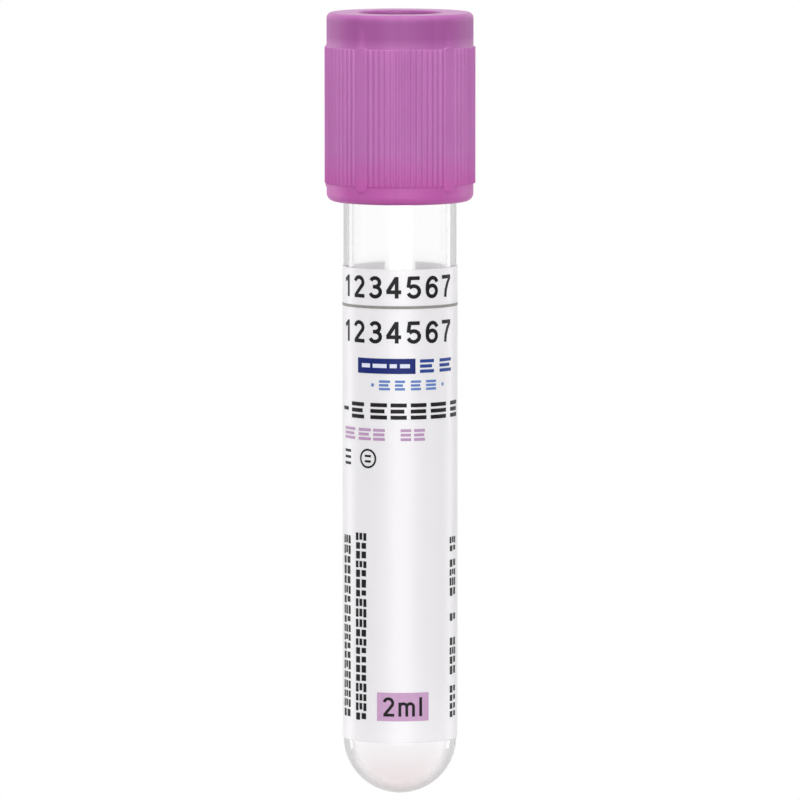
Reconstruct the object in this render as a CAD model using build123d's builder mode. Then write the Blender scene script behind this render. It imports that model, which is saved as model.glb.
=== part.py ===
from build123d import *
import os
from math import cos, degrees, radians, sin, sqrt

# A small vacuum blood collection tube, closed, standing on the flat top of its cap.
# Heights are measured down the tube's axis from the outside of its round bottom.
# Turns are measured round that axis, in degrees, from the front (-Y) towards -X.

# --- tube: clear plastic, one moulding with a round bottom ---
tube_length = 75.0
tube_diameter = 12.6
tube_wall = 1.05
rim_bevel = 0.2

# --- label: printed film stuck round the tube, with a clear strip left at the back ---
label_start = 6.3
label_height = 52.8
label_thickness = 0.1
glue_line = 0.01
label_window = 4.0

# --- safety cap: one plastic moulding, with a needle well in its deck ---
cap_height = 21.0
cap_overlap = 8.7
band_diameter = 16.34
skirt_bore_diameter = 14.0
deck_thickness = 1.6
well_diameter = 9.2
collar_wall = 1.2
top_bevel = 0.4
skirt_bevel = 0.45
skirt_lead_in = 0.25
well_bevel = 0.3
bead_height = 0.7
bead_slope = 0.5
bead_clearance = 0.15

# --- flutes: groups of fine ribs on a low sleeve, with a plain raised land between groups ---
crest_diameter = 16.8
sleeve_step = 0.08
sleeve_start = 2.0
sleeve_end = 3.8
rib_pitch = 4.4
rib_foot_width = 0.5
rib_crest_width = 0.18
ribs_per_group = 14
group_count = 5
land_width = 1.37
land_corner = 0.4
land_extra_foot = 0.6
land_extra_top = 0.25
land_root = 0.5
group_turn = 4.7

# --- stopper: butyl rubber, a head under the deck and a hollow plug in the mouth ---
head_height = 6.0
head_clearance = 0.05
head_bevel = 0.4
plug_length = 7.5
plug_clearance = 0.04
plug_bevel = 0.6
groove_count = 2
groove_width = 1.1
groove_depth = 0.3
groove_pitch = 2.2
groove_start = 1.6
dish_diameter = 6.0
dish_floor_diameter = 3.6
dish_depth = 2.0
recess_diameter = 5.2
recess_depth = 7.0
recess_bevel = 0.4

# --- sizes that follow from those above ---
tube_radius = tube_diameter / 2
bore_radius = tube_radius - tube_wall
label_radius = tube_radius + glue_line + label_thickness
skirt_edge = tube_length - cap_overlap
cap_top = skirt_edge + cap_height
head_top = tube_length + head_height
band_radius = band_diameter / 2
crest_radius = crest_diameter / 2
skirt_bore_radius = skirt_bore_diameter / 2
well_radius = well_diameter / 2
bead_radius = tube_radius + bead_clearance
sleeve_radius = band_radius + sleeve_step
sleeve_foot = skirt_edge + sleeve_start
sleeve_top = cap_top - sleeve_end
land_foot = sleeve_foot - land_extra_foot
land_top = sleeve_top + land_extra_top
land_face = sqrt(crest_radius**2 - (land_width / 2) ** 2)
rib_root = crest_radius - band_radius
group_pitch = 360 / group_count
head_radius = skirt_bore_radius - head_clearance
plug_radius = bore_radius - plug_clearance
plug_foot = tube_length - plug_length

window_angle = degrees(label_window / label_radius)

# --- how it stands: upside down, with the cap's deck on the ground ---
standing = Plane(origin=(0, 0, cap_top), x_dir=(-1, 0, 0), z_dir=(0, 0, -1))
tube_axis = Axis(standing.origin, standing.z_dir)


def outward(turn):
    """Direction straight out from the tube's axis at a turn."""
    return standing.x_dir * sin(radians(turn)) - standing.y_dir * cos(radians(turn))


def section(turn=90):
    """Plane through the axis: X is the radius and Y the height."""
    return Plane(
        origin=standing.origin,
        x_dir=outward(turn),
        z_dir=outward(turn).cross(standing.z_dir),
    )


def tangent(turn, radius, height):
    """Plane square to a radius: X runs round the axis and Y along it."""
    return Plane(
        origin=standing.origin + outward(turn) * radius + standing.z_dir * height,
        x_dir=standing.z_dir.cross(outward(turn)),
        z_dir=outward(turn),
    )


# Tube: a straight wall that runs into a half ball, inside and out.
with BuildPart() as tube:
    with BuildSketch(section()) as wall_profile:
        with BuildLine():
            foot_arc = RadiusArc((0, 0), (tube_radius, tube_radius), -tube_radius)
            outer_wall = Line(foot_arc @ 1, (tube_radius, tube_length))
            rim = Line(outer_wall @ 1, (bore_radius, tube_length))
            inner_wall = Line(rim @ 1, (bore_radius, tube_radius))
            inner_arc = RadiusArc(inner_wall @ 1, (0, tube_wall), bore_radius)
            Line(inner_arc @ 1, foot_arc @ 0)
        make_face()
        chamfer(wall_profile.vertices().group_by(Axis.Y)[-1], rim_bevel)
    revolve(axis=tube_axis)
tube.part.label = "tube"

# Label: a thin skin turned from one edge of its clear strip to the other.
with BuildPart() as label:
    with BuildSketch(section(180 + window_angle / 2)):
        with Locations((tube_radius + glue_line, label_start)):
            Rectangle(label_thickness, label_height, align=Align.MIN)
    revolve(axis=tube_axis, revolution_arc=360 - window_angle)
label.part.label = "label"

# Safety cap: shell and deck turned in one piece, then the flutes raised on its wall.
with BuildPart() as safety_cap:
    with BuildSketch(section()) as shell:
        with Locations((0, skirt_edge)):
            Rectangle(band_radius, cap_height, align=Align.MIN)
        chamfer(shell.vertices().group_by(Axis.Y)[-1].sort_by(Axis.X)[-1], top_bevel)
        chamfer(shell.vertices().group_by(Axis.Y)[0].sort_by(Axis.X)[-1], skirt_bevel)
        with Locations((0, skirt_edge)):
            Rectangle(
                skirt_bore_radius,
                cap_height - deck_thickness,
                align=Align.MIN,
                mode=Mode.SUBTRACT,
            )
        chamfer(shell.vertices().group_by(Axis.Y)[0].sort_by(Axis.X)[0], skirt_lead_in)
        # The collar drops from the deck and holds the stopper's head down.
        with Locations((0, head_top)):
            Rectangle(well_radius + collar_wall, cap_top - head_top, align=Align.MIN)
        with Locations((0, head_top)):
            Rectangle(well_radius, cap_top - head_top, align=Align.MIN, mode=Mode.SUBTRACT)
        chamfer(shell.vertices().group_by(Axis.Y)[-1].sort_by(Axis.X)[0], well_bevel)
        # The bead snaps under the stopper's head and carries it.
        with BuildLine():
            Polyline(
                (skirt_bore_radius, tube_length),
                (bead_radius, tube_length),
                (bead_radius, tube_length - bead_height),
                (skirt_bore_radius, tube_length - bead_height - bead_slope),
                close=True,
            )
        make_face()
    revolve(axis=tube_axis)
    with BuildSketch(standing.offset(sleeve_foot)):
        Circle(sleeve_radius)
        for group in range(group_count):
            first_rib = group * group_pitch + group_turn - rib_pitch * (ribs_per_group - 1) / 2
            with PolarLocations(
                crest_radius,
                ribs_per_group,
                start_angle=first_rib - 90,
                angular_range=rib_pitch * (ribs_per_group - 1),
                endpoint=True,
            ):
                Polygon(
                    (0, rib_crest_width / 2),
                    (0, -rib_crest_width / 2),
                    (-rib_root, -rib_foot_width / 2),
                    (-rib_root, rib_foot_width / 2),
                    align=None,
                )
        Circle((skirt_bore_radius + band_radius) / 2, mode=Mode.SUBTRACT)
    extrude(amount=sleeve_top - sleeve_foot)
    # A land is a flat pad whose two long edges lie on the circle of the crests.
    land_planes = [
        tangent(
            group_turn + (group + 0.5) * group_pitch,
            land_face - land_root,
            (land_foot + land_top) / 2,
        )
        for group in range(group_count)
    ]
    with BuildSketch(*land_planes):
        RectangleRounded(land_width, land_top - land_foot, land_corner)
    extrude(amount=land_root)
safety_cap.part.label = "safety_cap"

# Stopper: the head seats on the tube's rim, and the plug's rings bear on its bore.
with BuildPart() as stopper:
    with BuildSketch(section()) as body:
        with Locations((0, tube_length)):
            Rectangle(head_radius, head_height, align=Align.MIN)
        with Locations((0, plug_foot)):
            Rectangle(plug_radius, plug_length, align=Align.MIN)
        chamfer(body.vertices().group_by(Axis.Y)[0].sort_by(Axis.X)[-1], plug_bevel)
        chamfer(body.vertices().group_by(Axis.Y)[-1].sort_by(Axis.X)[-1], head_bevel)
        # Two grooves leave three rings that grip the bore.
        for groove in range(groove_count):
            with Locations((plug_radius, plug_foot + groove_start + groove * groove_pitch)):
                Rectangle(
                    groove_depth,
                    groove_width,
                    align=(Align.MAX, Align.MIN),
                    mode=Mode.SUBTRACT,
                )
        # The dish in the top guides the needle to the thin middle.
        with BuildLine():
            Polyline(
                (0, head_top - dish_depth),
                (dish_floor_diameter / 2, head_top - dish_depth),
                (dish_diameter / 2, head_top),
                (0, head_top),
                close=True,
            )
        make_face(mode=Mode.SUBTRACT)
        # The plug is hollow from below.
        with Locations((0, plug_foot)):
            Rectangle(recess_diameter / 2, recess_depth, align=Align.MIN, mode=Mode.SUBTRACT)
        chamfer(body.vertices().group_by(Axis.Y)[0].sort_by(Axis.X)[0], recess_bevel)
    revolve(axis=tube_axis)
stopper.part.label = "stopper"

os.makedirs("parts", exist_ok=True)
export_step(tube.part, "parts/tube.step")
export_step(label.part, "parts/label.step")
export_step(safety_cap.part, "parts/safety_cap.step")
export_step(stopper.part, "parts/stopper.step")
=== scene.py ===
import math
import random

import bmesh
import bpy
import numpy as np
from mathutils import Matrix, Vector


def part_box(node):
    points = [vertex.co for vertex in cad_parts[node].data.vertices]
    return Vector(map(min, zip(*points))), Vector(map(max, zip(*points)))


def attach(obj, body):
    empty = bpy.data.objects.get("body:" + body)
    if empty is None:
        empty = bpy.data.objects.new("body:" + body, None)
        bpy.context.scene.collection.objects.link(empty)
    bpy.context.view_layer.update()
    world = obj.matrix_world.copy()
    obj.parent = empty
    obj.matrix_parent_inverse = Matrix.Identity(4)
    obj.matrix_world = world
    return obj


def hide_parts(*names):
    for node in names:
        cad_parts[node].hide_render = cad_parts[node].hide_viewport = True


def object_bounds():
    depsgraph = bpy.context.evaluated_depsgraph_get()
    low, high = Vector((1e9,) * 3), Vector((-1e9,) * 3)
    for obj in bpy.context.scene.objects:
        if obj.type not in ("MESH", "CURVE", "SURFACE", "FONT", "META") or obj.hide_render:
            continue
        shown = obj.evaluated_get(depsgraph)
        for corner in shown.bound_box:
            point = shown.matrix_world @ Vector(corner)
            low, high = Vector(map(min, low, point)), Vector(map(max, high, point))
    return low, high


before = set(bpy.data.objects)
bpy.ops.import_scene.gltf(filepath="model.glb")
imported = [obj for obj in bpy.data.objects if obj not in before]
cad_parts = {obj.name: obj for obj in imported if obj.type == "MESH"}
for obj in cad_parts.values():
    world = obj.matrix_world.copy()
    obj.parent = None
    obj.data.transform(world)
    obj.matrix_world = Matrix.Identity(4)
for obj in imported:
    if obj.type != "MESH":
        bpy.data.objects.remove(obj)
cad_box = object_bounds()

# ------------------------------------------------------------------ safety cap
# The purple cap is one moulding in slightly translucent polyethylene.  Groups of
# fine ribs stand on its wall with a plain land between each two groups, and a
# collar round the needle well holds the stopper down inside it.

# Sizes are in millimetres, and heights run down from the tube's round end.
MM = 0.001
round_end = cad_box[1].z / MM


def at(turn, radius, height):
    """Point at a turn from the front and a height from the tube's round end."""
    angle = math.radians(turn)
    return Vector(
        (
            -radius * math.sin(angle) * MM,
            -radius * math.cos(angle) * MM,
            (round_end - height) * MM,
        )
    )


def arc(centre_radius, centre_height, radius, start, end, steps):
    """Points of a rounded corner in a section, from one angle to another."""
    angles = [math.radians(start + (end - start) * i / steps) for i in range(steps + 1)]
    return [
        (centre_radius + radius * math.cos(a), centre_height + radius * math.sin(a))
        for a in angles
    ]


def finished(name, shape, smooth=True):
    """Object of a closed shape, with its faces turned outward."""
    bmesh.ops.recalc_face_normals(shape, faces=shape.faces)
    mesh = bpy.data.meshes.new(name)
    shape.to_mesh(mesh)
    shape.free()
    for face in mesh.polygons:
        face.use_smooth = smooth
    piece = bpy.data.objects.new(name, mesh)
    bpy.context.scene.collection.objects.link(piece)
    return piece


def turned(name, turns, section, bulge=None, closed=True):
    """Mesh skinned round the axis over a section of (radius, height) points.

    A point with a third entry also stands out by the bulge at its turn."""
    shape = bmesh.new()
    rings = []
    for radius, height, *bulged in section:
        ring = []
        for turn in turns:
            raised = bulge(turn, height) if bulged else 0.0
            ring.append(shape.verts.new(at(turn, radius + raised, height)))
        rings.append(ring)
    pairs = list(zip(rings, rings[1:]))
    if closed:
        pairs.append((rings[-1], rings[0]))
    for lower, upper in pairs:
        for i in range(len(turns)):
            j = (i + 1) % len(turns)
            shape.faces.new((lower[i], lower[j], upper[j], upper[i]))
    bmesh.ops.remove_doubles(shape, verts=shape.verts, dist=1e-8)
    return finished(name, shape)


class Wire:
    """One output socket of a finish; arithmetic on wires adds Math nodes."""

    def __init__(self, socket):
        self.socket = socket

    def math(self, operation, *values):
        return add_node(self.socket.id_data, "ShaderNodeMath", {"operation": operation}, values)

    def __add__(self, other):
        return self.math("ADD", self, other)

    def __radd__(self, other):
        return self.math("ADD", other, self)

    def __sub__(self, other):
        return self.math("SUBTRACT", self, other)

    def __rsub__(self, other):
        return self.math("SUBTRACT", other, self)

    def __mul__(self, other):
        return self.math("MULTIPLY", self, other)

    def __rmul__(self, other):
        return self.math("MULTIPLY", other, self)

    def __truediv__(self, other):
        return self.math("DIVIDE", self, other)

    def __rtruediv__(self, other):
        return self.math("DIVIDE", other, self)

    def __pow__(self, other):
        return self.math("POWER", self, other)

    def __rpow__(self, other):
        return self.math("POWER", other, self)

    def clipped(self):
        """The same value, kept between 0 and 1."""
        return self.math("MINIMUM", self.math("MAXIMUM", self, 0.0), 1.0)


def add_node(tree, kind, settings, sockets, out=0):
    """Adds a node: its settings first, then the values or links of its sockets."""
    node = tree.nodes.new(kind)
    for name, value in settings.items():
        setattr(node, name, value)
    named = sockets.items() if isinstance(sockets, dict) else enumerate(sockets)
    for key, value in named:
        free = [s for s in node.inputs if s.enabled]
        socket = free[key] if isinstance(key, int) else next(s for s in free if s.name == key)
        if isinstance(value, Wire):
            tree.links.new(value.socket, socket)
        else:
            socket.default_value = value
    free = [s for s in node.outputs if s.enabled]
    if not free:
        return node
    return Wire(free[out] if isinstance(out, int) else next(s for s in free if s.name == out))


def new_finish(name):
    """Material of that name, its empty node tree, and the place on the piece."""
    material = bpy.data.materials.new(name)
    material.use_nodes = True
    tree = material.node_tree
    tree.nodes.clear()
    return material, tree, add_node(tree, "ShaderNodeTexCoord", {}, {}, "Object")


def millimetres(tree, place, axis):
    """How far along one axis, in millimetres."""
    return add_node(tree, "ShaderNodeSeparateXYZ", {}, {"Vector": place}, axis) / MM


def grain(tree, place, stretch, scale, detail):
    """Noise over the surface, drawn out by the stretch along each direction."""
    spread = add_node(
        tree, "ShaderNodeVectorMath", {"operation": "MULTIPLY"}, (place, stretch)
    )
    return add_node(
        tree,
        "ShaderNodeTexNoise",
        {},
        {"Vector": spread, "Scale": scale, "Detail": detail},
        "Fac",
    )


def rgb(red, green, blue):
    """Linear colour from the 0-255 values of a colour chart."""
    shares = [v / 255 for v in (red, green, blue)]
    linear = [s / 12.92 if s <= 0.04045 else ((s + 0.055) / 1.055) ** 2.4 for s in shares]
    return (*linear, 1.0)


def mixed(tree, factor, first, second):
    """Colour between two others."""
    return add_node(
        tree,
        "ShaderNodeMix",
        {"data_type": "RGBA"},
        {"Factor": factor, "A": first, "B": second},
    )


def relief(tree, strength, depth, height):
    """Fine bumps, of a depth in metres."""
    return add_node(
        tree, "ShaderNodeBump", {}, {"Strength": strength, "Distance": depth, "Height": height}
    )


def plastic(tree, sockets):
    """Plastic, rubber or ink, from the sockets that set its look."""
    return add_node(tree, "ShaderNodeBsdfPrincipled", {}, sockets)


def show(tree, surface):
    """Gives a finish its surface."""
    add_node(tree, "ShaderNodeOutputMaterial", {}, {"Surface": surface})


cap_low, cap_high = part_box("safety_cap")
cap_top = round_end - cap_low.z / MM
skirt_edge = round_end - cap_high.z / MM
band = 8.17
crest = 8.4
sleeve_raise = 0.08
sleeve_foot, sleeve_top = skirt_edge + 2.0, cap_top - 3.8
ledge = 0.07
group_turn, group_pitch, group_count = 4.7, 72.0, 5
rib_pitch, ribs = 4.4, 14
middle_rib = (ribs - 1) / 2
# A rib's section: degrees from its crest, and how far it stands out there.
rib_steps = (0.0, 0.3, 0.65, 0.95, 1.35, 2.2)
rib_rise = (0.23, 0.226, 0.205, 0.15, 0.088, sleeve_raise)
land_foot, land_top = sleeve_foot - 0.6, sleeve_top + 0.25
land_half, land_corner, land_reach = 0.685, 0.4, 1.0
land_steps = (0.2, 0.4, 0.52, 0.6, 0.64, 0.67, 0.69)
pad_inside, pad_outside = 0.07, 0.01


def ramp(value, start, end):
    """0 before the start and 1 after the end, eased between."""
    t = min(max((value - start) / (end - start), 0.0), 1.0)
    return t * t * (3 - 2 * t)


def fluting(turn, height):
    """How far the wall stands out over the smooth band."""
    side = (turn - group_turn + group_pitch / 2) % group_pitch - group_pitch / 2
    sleeve = ramp(height, sleeve_foot - ledge, sleeve_foot + ledge)
    sleeve *= 1 - ramp(height, sleeve_top - ledge, sleeve_top + ledge)
    nearest = min(max(round(side / rib_pitch + middle_rib), 0), ribs - 1) - middle_rib
    rib = sleeve * np.interp(abs(side - nearest * rib_pitch), rib_steps, rib_rise)
    from_land = math.radians(abs(side) - group_pitch / 2)
    across = abs(math.sin(from_land) * crest)
    if across >= land_reach:
        return rib
    beyond = max(land_foot - height, height - land_top)
    past = math.hypot(max(across - land_half + land_corner, 0), max(beyond + land_corner, 0))
    inside = min(max(across - land_half, beyond) + land_corner, 0) + past - land_corner
    pad = 1 - ramp(inside, -pad_inside, pad_outside)
    face = math.sqrt(crest**2 - land_half**2) / math.cos(from_land)
    return max(rib, pad * (face - band))


cap_turns = []
for group in range(group_count):
    middle = group_turn + group * group_pitch
    for k in range(ribs):
        rib_turn = middle + (k - middle_rib) * rib_pitch
        cap_turns += [rib_turn - step for step in rib_steps[1:]]
        cap_turns += [rib_turn + step for step in rib_steps[1:-1]]
    land_turn = middle + group_pitch / 2
    for step in (*(-s for s in land_steps), 0.0, *land_steps):
        cap_turns.append(land_turn + math.degrees(math.asin(step / crest)))
cap_turns = sorted(turn % 360 for turn in cap_turns)

# Rings close beside each edge keep the shading of the long faces even.
outer_edge, crown_edge, support = 0.9, 0.6, 0.15
foot_steps = (-0.02, 0.02, 0.05, 0.09, 0.16, 0.27, 0.4)
ledge_steps = (-0.09, -0.05, 0.0, 0.05, 0.09)
sleeve_rows = 8
wall_heights = sorted(
    [land_foot + step for step in foot_steps]
    + [sleeve_foot + step for step in ledge_steps]
    + [sleeve_foot + (sleeve_top - sleeve_foot) * i / sleeve_rows for i in range(1, sleeve_rows)]
    + [sleeve_top + step for step in ledge_steps]
    + [land_top - step for step in foot_steps[:4]]
    + [skirt_edge + outer_edge + support, cap_top - crown_edge - support]
)
skirt_bore, bead, tube_rim = 7.0, 6.45, 75.0
well, well_edge, well_support = 4.6, 0.3, 2.0
collar, collar_foot, deck_under = 5.8, 81.0, 85.7
cap_section = (
    [(skirt_bore, skirt_edge + 0.25), (7.06, skirt_edge + 0.08), (7.22, skirt_edge)]
    + arc(band - outer_edge, skirt_edge + outer_edge, outer_edge, -90, 0, 8)
    + [(band, height, True) for height in wall_heights]
    + arc(band - crown_edge, cap_top - crown_edge, crown_edge, 0, 90, 8)
    + [(band - crown_edge - support, cap_top), (6.0, cap_top), (5.0, cap_top)]
    + arc(well + well_edge, cap_top - well_edge, well_edge, 90, 180, 6)
    + [(well, cap_top - well_support), (well, collar_foot + 0.05)]
    + [(well + 0.1, collar_foot), (collar - 0.1, collar_foot), (collar, collar_foot + 0.1)]
    + [(collar, deck_under - 0.2), (collar + 0.2, deck_under)]
    + [(skirt_bore - 0.2, deck_under), (skirt_bore, deck_under - 0.2)]
    + [(skirt_bore, tube_rim), (bead + 0.05, tube_rim), (bead, tube_rim - 0.05)]
    + [(bead, tube_rim - 0.65), (bead + 0.05, tube_rim - 0.75), (skirt_bore, tube_rim - 1.2)]
)
cap = turned("cap_shell", cap_turns, cap_section, fluting)

cap_finish, tree, place = new_finish("purple polyethylene")
streaks = grain(tree, place, (1.0, 1.0, 0.045), 900.0, 4.0)
clouds = grain(tree, place, (1.0, 1.0, 0.6), 160.0, 2.0)
pores = grain(tree, place, (1.0, 1.0, 1.0), 9000.0, 2.0)
tone = (streaks * 0.8 + clouds * 0.7 - 0.25).clipped()
# Painted light and shade in one purple: the crown is painted darker, for the solid top that
# shades it and against the front lamp's highlight; the ribbed sleeve lighter, for the light its
# ribs scatter; the skirt deeper and brighter, for light through its thin wall.
crown_painted_shade = mixed(tree, tone, rgb(152, 77, 144), rgb(166, 91, 156))
ribs_painted_light = mixed(tree, tone, rgb(172, 98, 164), rgb(191, 117, 182))
skirt_painted_glow = mixed(tree, tone, rgb(180, 85, 162), rgb(192, 97, 172))
# The deck is on the ground, and each colour blends into the next above it. The deck is also
# painted part way to the lighter ribbed colour, as a painted reflection.
deck_end, deck_blend = 0.9, 0.6
crown_end, crown_blend = 2.6, 1.4
skirt_start, skirt_blend = 15.0, 4.0
from_ground = millimetres(tree, place, "Z")
on_deck = ((deck_end - from_ground) / deck_blend).clipped()
past_crown = ((from_ground - crown_end) / crown_blend).clipped()
near_skirt = ((from_ground - skirt_start) / skirt_blend).clipped()
# Painted reflection: part of the lighter ribbed colour on the deck.
above_skirt = mixed(tree, past_crown + on_deck * 0.45, crown_painted_shade, ribs_painted_light)
moulded = plastic(
    tree,
    {
        "Base Color": mixed(tree, near_skirt, above_skirt, skirt_painted_glow),
        "Roughness": (
            0.48 + clouds * 0.08 - on_deck * 0.17 - past_crown * 0.18 + near_skirt * 0.12
        ),
        "IOR": 1.34,
        "Subsurface Weight": 0.2,
        "Subsurface Radius": (0.0012, 0.0004, 0.001),
        "Subsurface Scale": 1.0,
        "Normal": relief(tree, 0.25, 0.00002, streaks * 0.6 + pores * 0.4),
    },
)
show(tree, moulded)
cap.data.materials.append(cap_finish)
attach(cap, "closure")
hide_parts("safety_cap")

# --------------------------------------------------------------------- stopper
# The stopper is one butyl rubber moulding: a head held under the cap's deck, and
# a hollow plug whose three rings grip the tube's bore.  The dish in its head
# leads the needle to the thin middle.
stopper_sides = 120
stopper_turns = [360 * i / stopper_sides for i in range(stopper_sides)]
head_top = round_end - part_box("stopper")[0].z / MM
plug_foot = round_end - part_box("stopper")[1].z / MM
head, head_edge, dish_depth = 6.95, 0.4, 2.0
plug, groove_floor, groove_start, groove_pitch = 5.21, 4.91, 1.6, 2.2
recess, recess_depth = 2.6, 7.0
stopper_section = [(0, head_top - dish_depth), (1.5, head_top - dish_depth)]
stopper_section += [(1.85, head_top - 1.9), (2.9, head_top - 0.12), (3.1, head_top)]
stopper_section += arc(head - head_edge, head_top - head_edge, head_edge, 90, 0, 6)
stopper_section += [(head, tube_rim + 0.1), (head - 0.1, tube_rim)]
stopper_section += [(plug + 0.09, tube_rim), (plug, tube_rim - 0.1)]
for groove in (1, 0):
    foot = plug_foot + groove_start + groove * groove_pitch
    stopper_section += [(plug, foot + 1.15), (plug - 0.05, foot + 1.08)]
    stopper_section += [(groove_floor + 0.04, foot + 1.0), (groove_floor, foot + 0.9)]
    stopper_section += [(groove_floor, foot + 0.2), (groove_floor + 0.04, foot + 0.1)]
    stopper_section += [(plug - 0.05, foot + 0.02), (plug, foot - 0.05)]
stopper_section += [(plug, plug_foot + 0.6), (4.9, plug_foot + 0.18), (4.6, plug_foot)]
stopper_section += [(3.0, plug_foot), (2.7, plug_foot + 0.15), (recess, plug_foot + 0.4)]
stopper_section += [(recess, plug_foot + recess_depth - 0.4)]
stopper_section += [(recess - 0.3, plug_foot + recess_depth), (0, plug_foot + recess_depth)]
stopper = turned("rubber_stopper", stopper_turns, stopper_section, closed=False)

rubber, tree, place = new_finish("butyl rubber")
speckle = grain(tree, place, (1.0, 1.0, 1.0), 2600.0, 4.0)
bloom = grain(tree, place, (1.0, 1.0, 1.0), 350.0, 2.0)
tone = (speckle * 0.8 + bloom * 0.5 - 0.15).clipped()
moulded = plastic(
    tree,
    {
        "Base Color": mixed(tree, tone, rgb(92, 60, 92), rgb(122, 84, 118)),
        "Roughness": 0.55 + bloom * 0.25,
        "Normal": relief(tree, 0.4, 0.00003, speckle),
    },
)
show(tree, moulded)
stopper.data.materials.append(rubber)
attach(stopper, "closure")
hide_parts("stopper")

# ------------------------------------------------------------------------ tube
# The tube is injection moulded in clear polyester, with an even wall that closes
# in a half ball.  Its open rim is under the cap.
tube_sides, tube_rows = 160, 6
tube_turns = [360 * i / tube_sides for i in range(tube_sides)]
tube_radius, tube_bore, rim_edge = 6.3, 5.25, 0.2
straight, ball_support, rim_support = 60.0, 0.4, 0.5
tube_heights = [tube_radius + ball_support]
tube_heights += [tube_radius + straight * i / tube_rows for i in range(1, tube_rows + 1)]
tube_heights += [tube_rim - rim_support]
tube_section = arc(0, tube_radius, tube_radius, -90, 0, 28)
tube_section += [(tube_radius, height) for height in tube_heights]
tube_section += arc(tube_radius - rim_edge, tube_rim - rim_edge, rim_edge, 0, 90, 4)
tube_section += arc(tube_bore + rim_edge, tube_rim - rim_edge, rim_edge, 90, 180, 4)
tube_section += [(tube_bore, height) for height in reversed(tube_heights)]
tube_section += arc(0, tube_radius, tube_bore, 0, -90, 24)
tube = turned("clear_tube", tube_turns, tube_section, closed=False)


def ray(tree, kind):
    """1 for rays of that kind, and 0 for others."""
    return add_node(tree, "ShaderNodeLightPath", {}, {}, kind)


clear, tree, place = new_finish("clear polyester")
flow = grain(tree, place, (1.0, 1.0, 0.12), 420.0, 2.0)
haze = grain(tree, place, (1.0, 1.0, 1.0), 900.0, 3.0)
# Painted shade: the outer face's colour greys where it turns away, on the straight wall and the
# ball, to draw the dark edges that refraction gives.
from_ground = millimetres(tree, place, "Z")
from_axis = add_node(
    tree,
    "ShaderNodeCombineXYZ",
    {},
    {
        "X": millimetres(tree, place, "X"),
        "Y": millimetres(tree, place, "Y"),
        "Z": from_ground.math("MAXIMUM", from_ground - (round_end - tube_radius), 0.0),
    },
)
reach = add_node(
    tree, "ShaderNodeVectorMath", {"operation": "LENGTH"}, (from_axis,), "Value"
)
outer_face = ((reach - tube_bore) / (tube_radius - tube_bore)).clipped()
facing = add_node(tree, "ShaderNodeLayerWeight", {}, {"Blend": 0.5}, "Facing")
shade_start, shade_blend = 0.41, 0.25
rim_shade = ((facing - shade_start) / shade_blend).clipped() * outer_face
# The dried film inside warms the round end.
film_height = 7.5
tip = ((from_ground - (round_end - film_height)) / film_height).clipped()
tint = mixed(tree, tip, (0.998, 0.996, 0.997, 1), (0.965, 0.935, 0.945, 1))
tint = mixed(tree, tip**4.0, tint, (0.97, 0.86, 0.87, 1))
# Painted shade: grey mixed into the wall's colour by the rim shade, less on the round end, with
# a trace of haze.
tint = mixed(tree, rim_shade * (1 - tip * 0.8) + haze * 0.015, tint, (0.4, 0.39, 0.4, 1))
wall = plastic(
    tree,
    {
        "Base Color": tint,
        "Roughness": 0.06 + haze * 0.06 + tip * 0.14,
        "IOR": 1.57,
        "Transmission Weight": 1.0,
        "Normal": relief(tree, 0.08, 0.00005, flow),
    },
)
let_by = add_node(tree, "ShaderNodeBsdfTransparent", {}, {"Color": (0.985, 0.985, 0.985, 1)})
soft_light = (ray(tree, "Is Shadow Ray") + ray(tree, "Is Diffuse Ray")).clipped()
show(tree, add_node(tree, "ShaderNodeMixShader", {}, (soft_light, wall, let_by)))
tube.data.materials.append(clear)
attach(tube, "tube_body")
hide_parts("tube")

# ----------------------------------------------------------------------- label
# The label is a white satin film stuck round the tube.  Its two side edges stop
# short of each other at the back, so a clear strip shows how full the tube is.
label_low, label_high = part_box("label")
label_foot = round_end - label_high.z / MM
label_top = round_end - label_low.z / MM
label_inner, label_outer, strip_width = 6.31, 6.41, 4.0
label_edge, label_support = 0.03, 0.1
label_sides, label_rows = 150, 8
strip_half = math.degrees(strip_width / 2 / label_outer)
edge_steps = (0.0, 0.12, 0.4)
label_turns = [180 + strip_half + step for step in edge_steps]
label_turns += [
    180 + strip_half + 1 + (358 - 2 * strip_half) * i / label_sides
    for i in range(label_sides + 1)
]
label_turns += [540 - strip_half - step for step in reversed(edge_steps)]
label_heights = [label_foot + label_edge, label_foot + label_support]
label_heights += [
    label_foot + (label_top - label_foot) * i / label_rows for i in range(1, label_rows)
]
label_heights += [label_top - label_support, label_top - label_edge]
film_section = [(label_inner, label_foot), (label_outer - label_edge, label_foot)]
film_section += [(label_outer, height) for height in label_heights]
film_section += [(label_outer - label_edge, label_top), (label_inner, label_top)]
film_section += [(label_inner, height) for height in reversed(label_heights)]

shape = bmesh.new()
rings = []
for turn in label_turns:
    at_side_edge = turn in (label_turns[0], label_turns[-1])
    outside = label_outer - label_edge if at_side_edge else label_outer
    points = [at(turn, min(radius, outside), height) for radius, height in film_section]
    rings.append([shape.verts.new(point) for point in points])
for left, right in zip(rings, rings[1:]):
    for i in range(len(film_section)):
        j = (i + 1) % len(film_section)
        shape.faces.new((left[i], left[j], right[j], right[i]))
shape.faces.new(rings[0])
shape.faces.new(rings[-1])
label = finished("label_film", shape)
for face in label.data.polygons:
    if len(face.vertices) > 4:
        face.use_smooth = False

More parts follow.
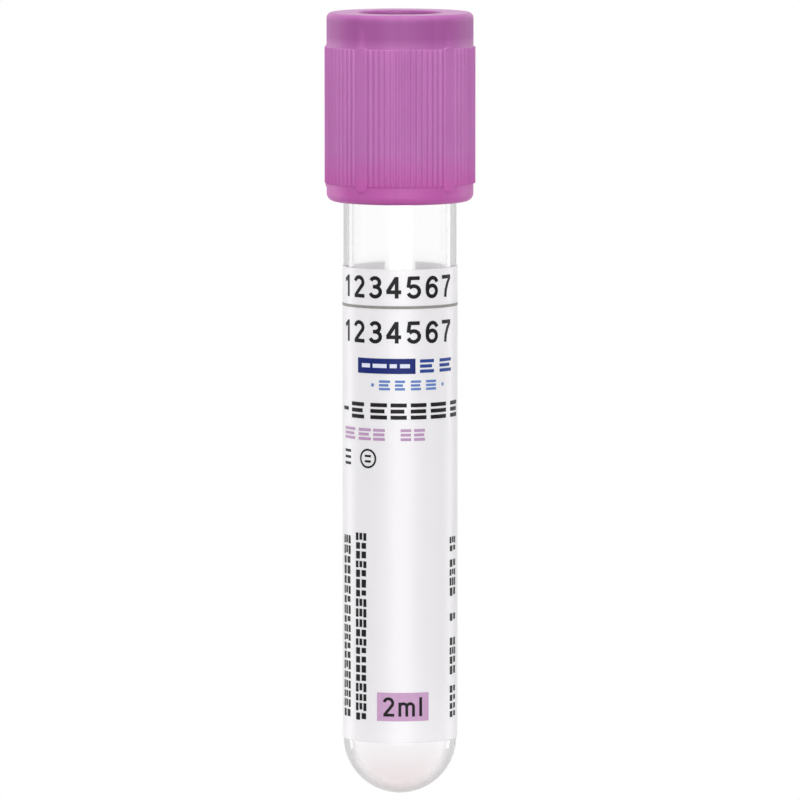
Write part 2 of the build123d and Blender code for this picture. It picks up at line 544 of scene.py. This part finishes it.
film, tree, place = new_finish("white satin film")
fibre = grain(tree, place, (1.0, 1.0, 1.0), 3500.0, 4.0)
mottle = grain(tree, place, (1.0, 1.0, 0.5), 240.0, 3.0)
tone = (mottle * 0.9 + fibre * 0.2 - 0.05).clipped()
satin = plastic(
    tree,
    {
        "Base Color": mixed(tree, tone, rgb(246, 244, 246), rgb(251, 250, 252)),
        "Roughness": 0.3 + mottle * 0.1,
        "IOR": 1.62,
        "Normal": relief(tree, 0.15, 0.00002, fibre),
    },
)
lit_through = add_node(tree, "ShaderNodeBsdfTranslucent", {}, {"Color": rgb(249, 247, 249)})
show(tree, add_node(tree, "ShaderNodeMixShader", {}, (0.25, satin, lit_through)))
label.data.materials.append(film)
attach(label, "tube_body")
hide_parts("label")

# ----------------------------------------------------------------------- print
# The print is screen ink on the film: two rows of plain digits, a grey rule, flat
# blocks and dashes where words would go, and the volume on a mauve field.
ink_foot, ink_face = label_outer - 0.004, label_outer + 0.012
ink_step = 0.3
layer_lift = 0.001


def divided(points):
    """The same line with no piece longer than the ink's step."""
    line = [points[0]]
    for start, end in zip(points, points[1:]):
        pieces = max(1, math.ceil(math.dist(start, end) / ink_step))
        line += [
            (
                start[0] + (end[0] - start[0]) * i / pieces,
                start[1] + (end[1] - start[1]) * i / pieces,
            )
            for i in range(1, pieces + 1)
        ]
    return line


def ribbon(shape, left, right, lift=0.0, loop=False):
    """Thin closed strip of ink between two lines on the flat label."""
    rows = []
    for a, b in zip(left, right):
        row = []
        for u, v in (a, b):
            turn = math.degrees(u / label_outer)
            row.append(shape.verts.new(at(turn, ink_foot, v)))
            row.append(shape.verts.new(at(turn, ink_face + lift, v)))
        rows.append(row)
    pairs = list(zip(rows, rows[1:]))
    if loop:
        pairs.append((rows[-1], rows[0]))
    for (a0, a1, b0, b1), (c0, c1, d0, d1) in pairs:
        shape.faces.new((a1, b1, d1, c1))
        shape.faces.new((a0, c0, d0, b0))
        shape.faces.new((a0, a1, c1, c0))
        shape.faces.new((b0, d0, d1, b1))
    if not loop:
        for a0, a1, b0, b1 in (rows[0], rows[-1]):
            shape.faces.new((a0, b0, b1, a1))


def stroke(shape, points, width, lift=0.0, loop=False):
    """Line of ink of one width along points on the flat label."""
    line = [Vector(p) for p in divided(points)]
    if loop:
        line.pop()
    left, right = [], []
    for i, point in enumerate(line):
        ways = []
        if i or loop:
            ways.append((point - line[i - 1]).normalized())
        if i < len(line) - 1 or loop:
            ways.append((line[(i + 1) % len(line)] - point).normalized())
        normals = [Vector((-way.y, way.x)) for way in ways]
        normal = sum(normals, Vector((0, 0))).normalized()
        reach = width / 2 / max(normal.dot(normals[0]), 0.5)
        left.append(tuple(point + normal * reach))
        right.append(tuple(point - normal * reach))
    ribbon(shape, left, right, lift, loop)


def block(shape, u0, u1, v0, v1, lift=0.0):
    """Plain rectangle of ink on the flat label."""
    bottom = divided([(u0, v0), (u1, v0)])
    ribbon(shape, bottom, [(u, v1) for u, _ in bottom], lift)


def bow(cx, cy, rx, ry, start, end, steps=12):
    """Part of an oval, by its middle, half sizes and angles."""
    angles = [math.radians(start + (end - start) * i / steps) for i in range(steps + 1)]
    return [(cx + rx * math.cos(a), cy + ry * math.sin(a)) for a in angles]


# The strokes of each sign, one unit tall, from the middle of its foot line.
SIGNS = {
    "1": [
        [(0.1, 0.0), (0.1, 1.0)],
        [(0.09, 0.93), (-0.06, 0.8), (-0.18, 0.75)],
    ],
    "2": [
        bow(0.0, 0.7, 0.23, 0.235, 168, -28) + [(-0.2, 0.1)],
        [(-0.27, 0.075), (0.31, 0.075)],
    ],
    "3": [
        bow(0.0, 0.73, 0.205, 0.205, 160, -90) + [(-0.1, 0.525)],
        bow(0.0, 0.295, 0.24, 0.23, 90, -162),
    ],
    "4": [
        [(0.11, 0.0), (0.11, 1.0)],
        [(-0.33, 0.29), (0.3, 0.29)],
        [(-0.28, 0.3), (0.09, 0.94)],
    ],
    "5": [
        [(-0.19, 0.935), (0.26, 0.935)],
        [(-0.17, 1.0), (-0.23, 0.5)],
        bow(0.0, 0.32, 0.245, 0.255, 140, -162),
    ],
    "6": [
        bow(0.01, 0.32, 0.23, 0.255, 0, 360, 20),
        [(-0.22, 0.36)] + bow(0.04, 0.53, 0.262, 0.405, 178, 30),
    ],
    "7": [
        [(-0.28, 0.935), (0.3, 0.935)],
        [(0.25, 0.9), (0.08, 0.64), (-0.03, 0.34), (-0.07, 0.0)],
    ],
    "m": [
        [(-0.36, 0.0), (-0.36, 0.74)],
        bow(-0.18, 0.5, 0.18, 0.18, 170, 0) + [(0.0, 0.0)],
        bow(0.18, 0.5, 0.18, 0.18, 170, 0) + [(0.36, 0.0)],
    ],
    "l": [
        [(0.0, 0.0), (0.0, 1.0)],
    ],
}


def sign(shape, name, middle, foot, tall, weight, spread=1.0, lift=0.0):
    """One digit or letter on its foot line, each stroke a layer over the last."""
    for layer, path in enumerate(SIGNS[name]):
        loop = math.dist(path[0], path[-1]) < 1e-6
        points = [(middle + x * tall * spread, foot + y * tall) for x, y in path]
        stroke(shape, points, weight, lift + layer * layer_lift, loop)


draw = random.Random(12)


def tile(shape, u0, u1, v0, v1, lines, upright=False):
    """Block of short dashes that fills the place of one printed word."""
    for i in range(lines):
        share = draw.uniform(0.0, 0.22) if i % 2 else 0.0
        if upright:
            a = u0 + (u1 - u0) * (i + 0.12) / lines
            b = u0 + (u1 - u0) * (i + 0.84) / lines
            block(shape, a, b, v0 + (v1 - v0) * share, v1)
        else:
            a = v0 + (v1 - v0) * (i + 0.18) / lines
            b = v0 + (v1 - v0) * (i + 0.82) / lines
            block(shape, u0, u1 - (u1 - u0) * share, a, b)


def column(shape, u0, u1, start, end, lengths, dense):
    """Upright line of tiles with gaps, of which a share has three dashes."""
    gap = 0.24
    v = start
    while v < end:
        length = draw.uniform(*lengths)
        tile(shape, u0, u1, v, v + length, 3 if draw.random() < dense else 2, True)
        v += length + gap


# Places are round from the front and down from the round end.
black = bmesh.new()
digit_middle, digit_pitch = -0.66, 2.2
digit_height, digit_weight, digit_spread = 2.4, 0.42, 1.1
for foot in (55.9, 50.9):
    for i, name in enumerate("1234567"):
        middle = digit_middle + (i - 3) * digit_pitch
        sign(black, name, middle, foot, digit_height, digit_weight, digit_spread)

words = ((-6.3, -4.3), (-3.45, -1.45), (-1.05, 0.75), (1.2, 3.05), (3.6, 5.9), (6.75, 8.6))
for u0, u1 in words:
    tile(black, u0, u1, 42.3, 44.35, 3)
block(black, -8.4, -7.0, 43.2, 43.6)

stroke(black, bow(-3.8, 38.0, 0.98, 0.98, 0, 360, 40), 0.22, loop=True)
block(black, -4.2, -3.4, 37.55, 37.8)
block(black, -4.2, -3.4, 38.15, 38.4)
for v0, v1 in ((37.15, 37.45), (37.85, 38.15), (38.55, 38.85)):
    block(black, -7.9, -6.5, v0, v1)

column(black, -5.65, -3.9, 8.7, 29.2, (0.72, 0.98), 0.6)
column(black, -8.4, -6.5, 8.9, 28.7, (0.72, 0.98), 0.6)
for start, end in ((8.8, 12.1), (13.6, 16.9), (19.6, 20.1), (22.4, 25.9), (27.4, 28.7)):
    column(black, 6.6, 8.3, start, end, (0.6, 0.95), 0.4)

mauve_field = bmesh.new()
block(mauve_field, -2.63, 3.31, 8.75, 11.93)
volume_foot, volume_height, volume_weight, volume_lift = 9.27, 2.13, 0.33, 0.004
for name, middle in (("2", -1.3), ("m", 0.75), ("l", 2.35)):
    sign(black, name, middle, volume_foot, volume_height, volume_weight, lift=volume_lift)

mauve = bmesh.new()
for u0, u1 in ((-7.9, -5.7), (-5.1, -3.4), (-3.1, -1.7), (0.07, 1.25), (1.57, 2.85)):
    tile(mauve, u0, u1, 39.95, 41.45, 3)

navy = bmesh.new()
block(navy, -5.21, 1.74, 47.5, 49.2)
pale = bmesh.new()
for u0, u1 in ((-4.6, -3.5), (-3.15, -1.5), (-1.15, -0.35), (0.0, 1.1)):
    block(pale, u0, u1, 48.15, 48.6, 0.003)
blue = bmesh.new()
for u0, u1 in ((2.26, 4.02), (4.83, 6.9)):
    tile(blue, u0, u1, 47.5, 49.2, 3)
sky = bmesh.new()
for u0, u1 in ((-2.38, -1.11), (-0.55, 0.55), (1.22, 2.38), (2.99, 4.3)):
    tile(sky, u0, u1, 45.6, 46.85, 3)
for u in (-3.17, 5.3):
    block(sky, u - 0.16, u + 0.16, 46.05, 46.4)
grey = bmesh.new()
block(grey, -10.5, 10.5, 54.72, 55.04)

INKS = (
    ("print_black", black, (8, 7, 10), (24, 22, 26)),
    ("print_grey", grey, (128, 124, 122), (160, 156, 154)),
    ("print_navy", navy, (16, 30, 96), (28, 44, 118)),
    ("print_blue", blue, (34, 58, 132), (50, 78, 150)),
    ("print_sky", sky, (88, 120, 186), (108, 138, 196)),
    ("print_pale", pale, (214, 220, 238), (228, 232, 244)),
    ("print_mauve", mauve, (176, 140, 178), (194, 158, 194)),
    ("print_field", mauve_field, (194, 152, 192), (206, 168, 203)),
)
for name, shape, dark, light in INKS:
    ink = finished(name, shape, smooth=False)
    coat, tree, place = new_finish(name.replace("_", " ") + " ink")
    spread = grain(tree, place, (1.0, 1.0, 1.0), 2200.0, 4.0)
    dried = plastic(
        tree,
        {
            "Base Color": mixed(tree, spread, rgb(*dark), rgb(*light)),
            "Roughness": 0.38 + spread * 0.14,
            "Specular IOR Level": 0.15,
            "Normal": relief(tree, 0.2, 0.000005, spread),
        },
    )
    show(tree, dried)
    ink.data.materials.append(coat)
    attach(ink, "tube_body")

# --------------------------------------------------- floor, lamps, sky, camera
# The closed tube stands on the flat ring of its cap, upside down, on a pale floor
# in soft studio light.  The camera is turned over to match, and looks up at the
# cap's deck from just below the floor, which is clear from that side.
low, high = cad_box
centre = (low + high) / 2

floor_radius, floor_drop = 40.0, 0.02 * MM
shape = bmesh.new()
bmesh.ops.create_circle(shape, cap_ends=True, segments=96, radius=floor_radius)
floor_mesh = bpy.data.meshes.new("floor")
shape.to_mesh(floor_mesh)
shape.free()
floor = bpy.data.objects.new("floor", floor_mesh)
floor.location = (0, 0, low.z - floor_drop)
floor.visible_diffuse = False
floor.visible_glossy = False
floor.visible_shadow = False
bpy.context.scene.collection.objects.link(floor)
surface, tree, place = new_finish("pale floor")
from_tube = add_node(tree, "ShaderNodeVectorMath", {"operation": "LENGTH"}, (place,), "Value")
near_floor, near_fade, near_glow = 0.06, 0.5, 0.22
far_off = ((from_tube - near_floor) / near_fade).clipped()
sheet = add_node(tree, "ShaderNodeBsdfDiffuse", {}, {"Color": (0.86, 0.86, 0.86, 1)})
glow = add_node(tree, "ShaderNodeEmission", {}, {"Color": (1, 1, 1, 1), "Strength": 1.0})
glowing = near_glow + far_off * (1 - near_glow)
pale_side = add_node(tree, "ShaderNodeMixShader", {}, (glowing, sheet, glow))
under = add_node(tree, "ShaderNodeNewGeometry", {}, {}, "Backfacing")
nothing = add_node(tree, "ShaderNodeBsdfTransparent", {}, {"Color": (1, 1, 1, 1)})
show(tree, add_node(tree, "ShaderNodeMixShader", {}, (under, pale_side, nothing)))
floor.data.materials.append(surface)

# Each lamp: its turn from the front and its rise in degrees, its distance, width
# and height in metres, its watts, and whether the pieces mirror it.
LAMPS = (
    ("front", 2.0, -11.0, 1.3, 1.1, 1.1, 13.3, True),
    ("left_strip", -120.0, 3.0, 0.9, 0.2, 0.5, 0.9, True),
    ("right_strip", 118.0, 3.0, 0.9, 0.2, 0.5, 1.05, True),
    ("left_fill", -125.0, 4.0, 1.0, 0.6, 1.1, 6.3, False),
    ("right_fill", 125.0, 4.0, 1.0, 0.6, 1.1, 2.6, False),
    ("over", 160.0, 65.0, 1.2, 0.9, 0.9, 5.0, False),
    ("under", 0.0, -84.0, 1.0, 1.0, 0.5, 7.0, True),
)
for name, turn, rise, distance, width, tall, power, mirrored in LAMPS:
    light = bpy.data.lights.new(name, "AREA")
    light.shape = "RECTANGLE"
    light.size = width
    light.size_y = tall
    light.energy = power
    lamp = bpy.data.objects.new(name, light)
    across = math.radians(turn)
    up = math.radians(rise)
    way = Vector(
        (
            -math.sin(across) * math.cos(up),
            -math.cos(across) * math.cos(up),
            math.sin(up),
        )
    )
    lamp.location = centre + way * distance
    lamp.rotation_euler = way.to_track_quat("Z", "Y").to_euler()
    lamp.visible_camera = False
    lamp.visible_transmission = False
    lamp.visible_glossy = mirrored
    bpy.context.scene.collection.objects.link(lamp)

# The sky is white where it is seen or mirrored.  Two grey cards behind the tube
# show only through the clear plastic, and draw its edges.
world = bpy.data.worlds.new("studio")
world.use_nodes = True
tree = world.node_tree
tree.nodes.clear()
seen = ray(tree, "Is Camera Ray")
through = ray(tree, "Is Transmission Ray")
gloss = ray(tree, "Is Glossy Ray")
heading = add_node(tree, "ShaderNodeTexCoord", {}, {}, "Generated")
behind = add_node(tree, "ShaderNodeSeparateXYZ", {}, {"Vector": heading}, "Y")
aside = behind.math("ARCCOSINE", behind)
slope = add_node(tree, "ShaderNodeSeparateXYZ", {}, {"Vector": heading}, "Z")
# Where each edge of a card starts, and how far it fades.
inner, inner_fade = 0.5, 0.15
outer, outer_fade = 0.85, 0.2
upper, upper_fade = 0.2, 0.3
card = ((aside - inner) / inner_fade).clipped()
card = card * (1 - ((aside - outer) / outer_fade).clipped())
card = card * (1 - ((slope.math("ABSOLUTE", slope) - upper) / upper_fade).clipped())
card_shade, plain = 0.35, 0.33
level = (seen + through * (1 - card * card_shade) + gloss * (1 - through)).clipped()
strength = level + (1 - (seen + through + gloss).clipped()) * plain
sky_light = add_node(
    tree, "ShaderNodeBackground", {}, {"Color": (1, 1, 1, 1), "Strength": strength}
)
add_node(tree, "ShaderNodeOutputWorld", {}, {"Surface": sky_light})
bpy.context.scene.world = world

lens = bpy.data.cameras.new("camera")
lens.sensor_width = 36.0
lens.lens = 463.4
lens.clip_start = 0.05
lens.clip_end = 100.0
camera = bpy.data.objects.new("camera", lens)
camera.location = (0, -1.143, -0.062)
aim = Vector((0, 0, 0.04327))
forward = (aim - camera.location).normalized()
camera.rotation_euler = forward.to_track_quat("-Z", "Y").to_euler()
camera.rotation_euler.rotate_axis("Z", math.pi)
bpy.context.scene.collection.objects.link(camera)
bpy.context.scene.camera = camera
bpy.context.scene.view_settings.view_transform = "Standard"
